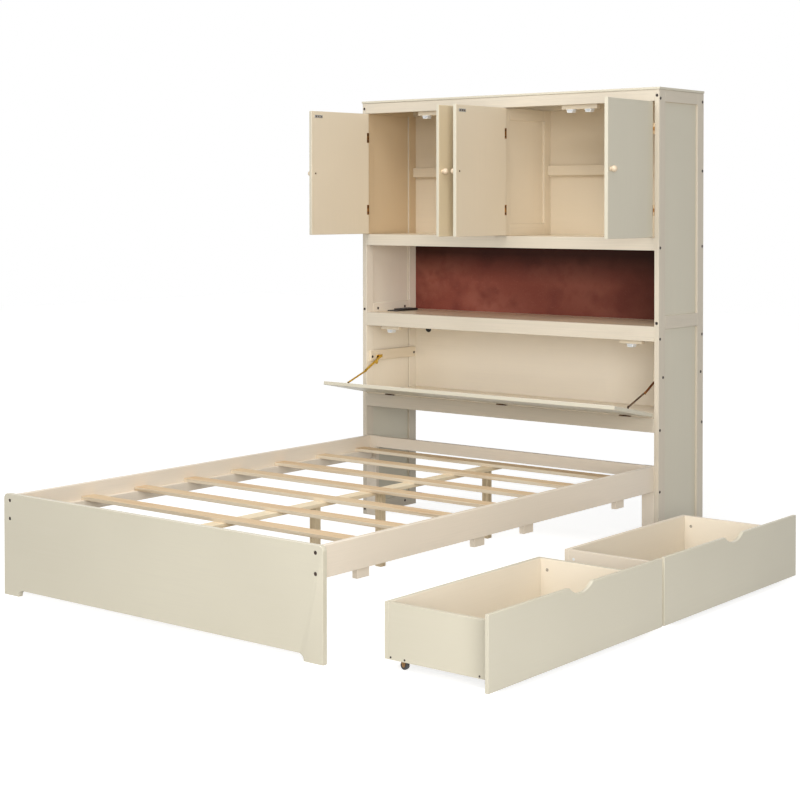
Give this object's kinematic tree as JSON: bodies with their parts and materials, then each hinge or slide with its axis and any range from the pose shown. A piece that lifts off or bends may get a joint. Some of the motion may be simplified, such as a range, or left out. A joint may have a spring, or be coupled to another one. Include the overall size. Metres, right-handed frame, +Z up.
{
  "type": "storage bed",
  "caption": "Slatted bed frame with a tall headboard cabinet of hinged doors, an open desk shelf, a drop-down flap on folding stays, and wheeled under-bed drawers.",
  "frame": {"origin": "middle of the whole object's outline on the floor, with the doors, flap and drawers as pictured", "axes": "+X towards the side where the drawers pull out, +Y from the footboard to the headboard cabinet, +Z up"},
  "size_m": [2.0458, 2.288, 1.78],
  "materials": {
    "cream_paint": "satin cream paint on wood and board",
    "natural_pine": "bare planed pine",
    "red_board": "mottled red-brown hardboard",
    "white_plastic": "moulded white plastic",
    "black_plastic": "moulded black plastic",
    "black_steel": "black painted pressed steel",
    "brown_steel": "bronzed pressed steel",
    "brass": "bright brass-plated strip"
  },
  "bodies": {
    "root": {"left_side_frame": "cream_paint", "right_side_frame": "cream_paint", "frame_panels": "cream_paint", "top_board": "cream_paint", "front_rails": "cream_paint", "back_rails": "cream_paint", "shelf_board": "cream_paint", "desk_board": "cream_paint", "compartment_floor": "cream_paint", "divider_frame": "cream_paint", "upper_back_panels": "cream_paint", "shelf_back_board": "red_board", "lower_back_panel": "cream_paint", "fitting_blocks": "cream_paint", "magnet_catches": "white_plastic", "outlet_and_grommet": "black_plastic", "cabinet_hinges": "brown_steel", "head_frame": "cream_paint", "side_rail_left": "cream_paint", "side_rail_right": "cream_paint", "ledges_and_stops": "cream_paint", "centre_beam": "natural_pine", "centre_legs": "natural_pine", "slats": "natural_pine", "footboard": "cream_paint", "frame_bolts": "brown_steel"},
    "left_outer_leaf": {"left_outer_door": "cream_paint", "left_outer_knob": "cream_paint", "left_outer_fittings": "brown_steel"},
    "left_inner_leaf": {"left_inner_door": "cream_paint", "left_inner_knob": "cream_paint", "left_inner_fittings": "brown_steel"},
    "right_inner_leaf": {"right_inner_door": "cream_paint", "right_inner_knob": "cream_paint", "right_inner_fittings": "brown_steel"},
    "right_outer_leaf": {"right_outer_door": "cream_paint", "right_outer_knob": "cream_paint", "right_outer_fittings": "brown_steel"},
    "flap_leaf": {"flap": "cream_paint", "flap_fittings": "brown_steel"},
    "left_upper_arm_link": {"left_upper_arm": "brass"},
    "left_lower_arm_link": {"left_lower_arm": "brass"},
    "right_upper_arm_link": {"right_upper_arm": "brass"},
    "right_lower_arm_link": {"right_lower_arm": "brass"},
    "foot_drawer": {"foot_drawer_front": "cream_paint", "foot_drawer_walls": "cream_paint", "foot_drawer_bottom": "cream_paint", "foot_drawer_forks": "black_steel"},
    "foot_caster_1": {"foot_wheel_1": "black_plastic"},
    "foot_caster_2": {"foot_wheel_2": "black_plastic"},
    "foot_caster_3": {"foot_wheel_3": "black_plastic"},
    "foot_caster_4": {"foot_wheel_4": "black_plastic"},
    "head_drawer": {"head_drawer_front": "cream_paint", "head_drawer_walls": "cream_paint", "head_drawer_bottom": "cream_paint", "head_drawer_forks": "black_steel"},
    "head_caster_1": {"head_wheel_1": "black_plastic"},
    "head_caster_2": {"head_wheel_2": "black_plastic"},
    "head_caster_3": {"head_wheel_3": "black_plastic"},
    "head_caster_4": {"head_wheel_4": "black_plastic"}
  },
  "joints": [
    {"name": "left_outer_door_hinge", "type": "hinge", "parent": "root", "child": "left_outer_leaf", "pos_m": [-0.97747, 0.789, 1.4685], "axis": [0, 0, 1], "range_deg": [-76, 94]},
    {"name": "left_inner_door_hinge", "type": "hinge", "parent": "root", "child": "left_inner_leaf", "pos_m": [-0.28447, 0.789, 1.4685], "axis": [0, 0, 1], "range_deg": [-83.5, 1]},
    {"name": "right_inner_door_hinge", "type": "hinge", "parent": "root", "child": "right_inner_leaf", "pos_m": [-0.26247, 0.789, 1.4685], "axis": [0, 0, 1], "range_deg": [-1, 89.5]},
    {"name": "right_outer_door_hinge", "type": "hinge", "parent": "root", "child": "right_outer_leaf", "pos_m": [0.43054, 0.789, 1.4685], "axis": [0, 0, 1], "range_deg": [-92, 78]},
    {"name": "flap_hinge", "type": "hinge", "parent": "root", "child": "flap_leaf", "pos_m": [-0.27347, 0.789, 0.527], "axis": [1, 0, 0], "range_deg": [-79, 0]},
    {"name": "left_stay_upper_pin", "type": "hinge", "parent": "root", "child": "left_upper_arm_link", "pos_m": [-0.95871, 0.866, 0.68], "axis": [1, 0, 0], "range_deg": [0, 56]},
    {"name": "left_stay_lower_pin", "type": "hinge", "parent": "flap_leaf", "child": "left_lower_arm_link", "pos_m": [-0.95671, 0.6419, 0.58259], "axis": [1, 0, 0], "range_deg": [-13.18, 0]},
    {"name": "right_stay_upper_pin", "type": "hinge", "parent": "root", "child": "right_upper_arm_link", "pos_m": [0.41179, 0.866, 0.68], "axis": [1, 0, 0], "range_deg": [0, 56]},
    {"name": "right_stay_lower_pin", "type": "hinge", "parent": "flap_leaf", "child": "right_lower_arm_link", "pos_m": [0.40979, 0.6419, 0.58259], "axis": [1, 0, 0], "range_deg": [-13.18, 0]},
    {"name": "foot_drawer_roll", "type": "slide", "parent": "root", "child": "foot_drawer", "axis": [1, 0, 0], "range_m": [-0.599, 0]},
    {"name": "foot_wheel_1_spin", "type": "hinge", "parent": "foot_drawer", "child": "foot_caster_1", "pos_m": [0.66094, -1.0255, 0.013], "axis": [0, 1, 0], "continuous": true},
    {"name": "foot_wheel_2_spin", "type": "hinge", "parent": "foot_drawer", "child": "foot_caster_2", "pos_m": [0.66094, -0.2835, 0.013], "axis": [0, 1, 0], "continuous": true},
    {"name": "foot_wheel_3_spin", "type": "hinge", "parent": "foot_drawer", "child": "foot_caster_3", "pos_m": [0.95793, -1.0255, 0.013], "axis": [0, 1, 0], "continuous": true},
    {"name": "foot_wheel_4_spin", "type": "hinge", "parent": "foot_drawer", "child": "foot_caster_4", "pos_m": [0.95793, -0.2835, 0.013], "axis": [0, 1, 0], "continuous": true},
    {"name": "head_drawer_roll", "type": "slide", "parent": "root", "child": "head_drawer", "axis": [1, 0, 0], "range_m": [-0.599, 0]},
    {"name": "head_wheel_1_spin", "type": "hinge", "parent": "head_drawer", "child": "head_caster_1", "pos_m": [0.66094, -0.0745, 0.013], "axis": [0, 1, 0], "continuous": true},
    {"name": "head_wheel_2_spin", "type": "hinge", "parent": "head_drawer", "child": "head_caster_2", "pos_m": [0.66094, 0.6675, 0.013], "axis": [0, 1, 0], "continuous": true},
    {"name": "head_wheel_3_spin", "type": "hinge", "parent": "head_drawer", "child": "head_caster_3", "pos_m": [0.95793, -0.0745, 0.013], "axis": [0, 1, 0], "continuous": true},
    {"name": "head_wheel_4_spin", "type": "hinge", "parent": "head_drawer", "child": "head_caster_4", "pos_m": [0.95793, 0.6675, 0.013], "axis": [0, 1, 0], "continuous": true}
  ],
  "couplings": [
    {"joint": "left_stay_upper_pin", "follows": "flap_hinge", "ratio": -0.7082},
    {"joint": "left_stay_lower_pin", "follows": "flap_hinge", "ratio": 0.16615},
    {"joint": "right_stay_upper_pin", "follows": "flap_hinge", "ratio": -0.7082},
    {"joint": "right_stay_lower_pin", "follows": "flap_hinge", "ratio": 0.16615}
  ]
}
